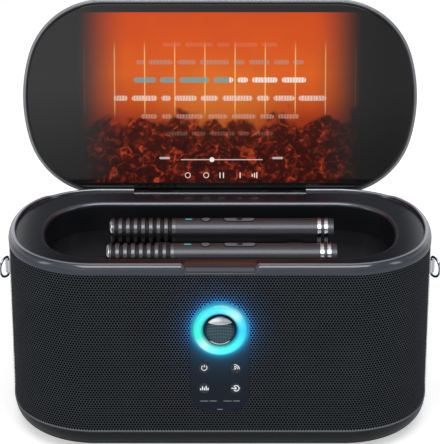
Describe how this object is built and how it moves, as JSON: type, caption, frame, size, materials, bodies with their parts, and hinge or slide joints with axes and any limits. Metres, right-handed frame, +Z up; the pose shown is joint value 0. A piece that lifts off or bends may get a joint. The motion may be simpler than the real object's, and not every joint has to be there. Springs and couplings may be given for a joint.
{
  "type": "karaoke machine with microphone tray",
  "caption": "Karaoke speaker with a hinged screen lid, a tray with wireless microphones, a lit volume knob and strap rings.",
  "frame": {"origin": "centre of the foot pad's underside, on the surface the machine stands on", "axes": "+Z up, -Y towards the user at the front, +X to the user's right; the lid is open at rest"},
  "size_m": [0.3676, 0.2332, 0.323],
  "materials": {
    "cabinet_abs": "fine texture",
    "grille_steel": "black powder coat, perforated look",
    "rim_gloss": "gloss",
    "tray_abs": "satin",
    "silicone": "matte",
    "contact_brass": "plated",
    "base_abs": "satin",
    "foot_rubber": "matte",
    "screw_steel": "zinc",
    "panel_smoke": "smoked gloss",
    "ring_diffuser": "lit diffuser",
    "circuit_board": "solder mask",
    "encoder_steel": "stamped",
    "basket_steel": "black paint",
    "ferrite": "ground",
    "cone_paper": "pressed paper",
    "surround_rubber": "matte",
    "sink_aluminium": "extruded",
    "battery_wrap": "shrink wrap",
    "socket_steel": "nickel plate",
    "socket_plastic": "moulded",
    "hinge_steel": "grey zinc",
    "pin_steel": "ground",
    "lug_zinc": "cast zinc, plated",
    "lid_abs": "satin",
    "frame_silver": "satin",
    "screen_glass": "black backed cover glass",
    "display_module": "lit picture",
    "knob_chrome": "dark chrome",
    "button_smoke": "smoked gloss",
    "ring_chrome": "polished",
    "mic_satin": "satin",
    "mic_head_metal": "satin",
    "cap_silver": "turned",
    "led_teal": "lit",
    "mic_inside": "board, cell and capsule",
    "mic_key": "satin"
  },
  "bodies": {
    "console": {"cabinet": "cabinet_abs", "grille": "grille_steel", "top_rim": "rim_gloss", "mic_tray": "tray_abs", "mic_saddles": "silicone", "charging_pins": "contact_brass", "base_cover": "base_abs", "foot_pad": "foot_rubber", "base_screws": "screw_steel", "control_panel": "panel_smoke", "light_ring": "ring_diffuser", "button_board": "circuit_board", "encoder": "encoder_steel", "woofer_baskets": "basket_steel", "woofer_magnets": "ferrite", "woofer_cones": "cone_paper", "woofer_surrounds": "surround_rubber", "passive_radiators": "surround_rubber", "driver_screws": "screw_steel", "main_board": "circuit_board", "heat_sink": "sink_aluminium", "battery_pack": "battery_wrap", "battery_bracket": "cabinet_abs", "port_panel": "panel_smoke", "usb_c_socket": "socket_steel", "aux_socket": "socket_plastic", "hinge_brackets": "hinge_steel", "hinge_pins": "pin_steel", "hinge_cover": "rim_gloss", "strap_lugs": "lug_zinc"},
    "lid": {"lid_back": "lid_abs", "lid_frame": "frame_silver", "screen_glass": "screen_glass", "lcd_panel": "display_module", "display_board": "circuit_board", "hinge_arms": "hinge_steel"},
    "volume_knob": {"knob": "knob_chrome", "knob_shaft": "pin_steel"},
    "power_key": {"power_button": "button_smoke"},
    "wireless_key": {"wireless_button": "button_smoke"},
    "bass_key": {"bass_button": "button_smoke"},
    "mode_key": {"mode_button": "button_smoke"},
    "strap_loop_left": {"strap_ring_left": "ring_chrome"},
    "strap_loop_right": {"strap_ring_right": "ring_chrome"},
    "mic_rear": {"mic_rear_barrel": "mic_satin", "mic_rear_head": "mic_head_metal", "mic_rear_cap": "cap_silver", "mic_rear_rings": "ring_chrome", "mic_rear_led": "led_teal", "mic_rear_core": "mic_inside"},
    "mic_rear_key": {"mic_rear_button": "mic_key"},
    "mic_rear_rocker": {"mic_rear_pad": "mic_key"},
    "mic_front": {"mic_front_barrel": "mic_satin", "mic_front_head": "mic_head_metal", "mic_front_cap": "cap_silver", "mic_front_rings": "ring_chrome", "mic_front_led": "led_teal", "mic_front_core": "mic_inside"},
    "mic_front_key": {"mic_front_button": "mic_key"},
    "mic_front_rocker": {"mic_front_pad": "mic_key"}
  },
  "joints": [
    {"name": "lid_hinge", "type": "hinge", "parent": "console", "child": "lid", "pos_m": [0, 0.0845, 0.1594], "axis": [-1, 0, 0], "range_deg": [-102, 0]},
    {"name": "knob_turn", "type": "hinge", "parent": "console", "child": "volume_knob", "pos_m": [0, -0.0896, 0.1122], "axis": [0, -1, 0], "continuous": true},
    {"name": "power_press", "type": "slide", "parent": "console", "child": "power_key", "axis": [0, 1, 0], "range_m": [0, 0.0008], "stiffness_N_per_m": 600},
    {"name": "wireless_press", "type": "slide", "parent": "console", "child": "wireless_key", "axis": [0, 1, 0], "range_m": [0, 0.0008], "stiffness_N_per_m": 600},
    {"name": "bass_press", "type": "slide", "parent": "console", "child": "bass_key", "axis": [0, 1, 0], "range_m": [0, 0.0008], "stiffness_N_per_m": 600},
    {"name": "mode_press", "type": "slide", "parent": "console", "child": "mode_key", "axis": [0, 1, 0], "range_m": [0, 0.0008], "stiffness_N_per_m": 600},
    {"name": "strap_left_swing", "type": "hinge", "parent": "console", "child": "strap_loop_left", "pos_m": [-0.177, 0, 0.1295], "axis": [0, 0, -1], "range_deg": [-30, 150]},
    {"name": "strap_right_swing", "type": "hinge", "parent": "console", "child": "strap_loop_right", "pos_m": [0.177, 0, 0.1295], "axis": [0, 0, 1], "range_deg": [-30, 150]},
    {"name": "mic_rear_lift", "type": "slide", "parent": "console", "child": "mic_rear", "axis": [0, 0, 1], "range_m": [0, 0.06]},
    {"name": "mic_rear_press", "type": "slide", "parent": "mic_rear", "child": "mic_rear_key", "axis": [0, 0, -1], "range_m": [0, 0.0006], "stiffness_N_per_m": 600},
    {"name": "mic_rear_rock", "type": "hinge", "parent": "mic_rear", "child": "mic_rear_rocker", "pos_m": [0.0162, 0.0235, 0.15955], "axis": [0, 1, 0], "range_deg": [-2.5, 2.5], "stiffness_Nm_per_rad": 1},
    {"name": "mic_front_lift", "type": "slide", "parent": "console", "child": "mic_front", "axis": [0, 0, 1], "range_m": [0, 0.06]},
    {"name": "mic_front_press", "type": "slide", "parent": "mic_front", "child": "mic_front_key", "axis": [0, 0, -1], "range_m": [0, 0.0006], "stiffness_N_per_m": 600},
    {"name": "mic_front_rock", "type": "hinge", "parent": "mic_front", "child": "mic_front_rocker", "pos_m": [0.0162, -0.0315, 0.15955], "axis": [0, 1, 0], "range_deg": [-2.5, 2.5], "stiffness_Nm_per_rad": 1}
  ]
}
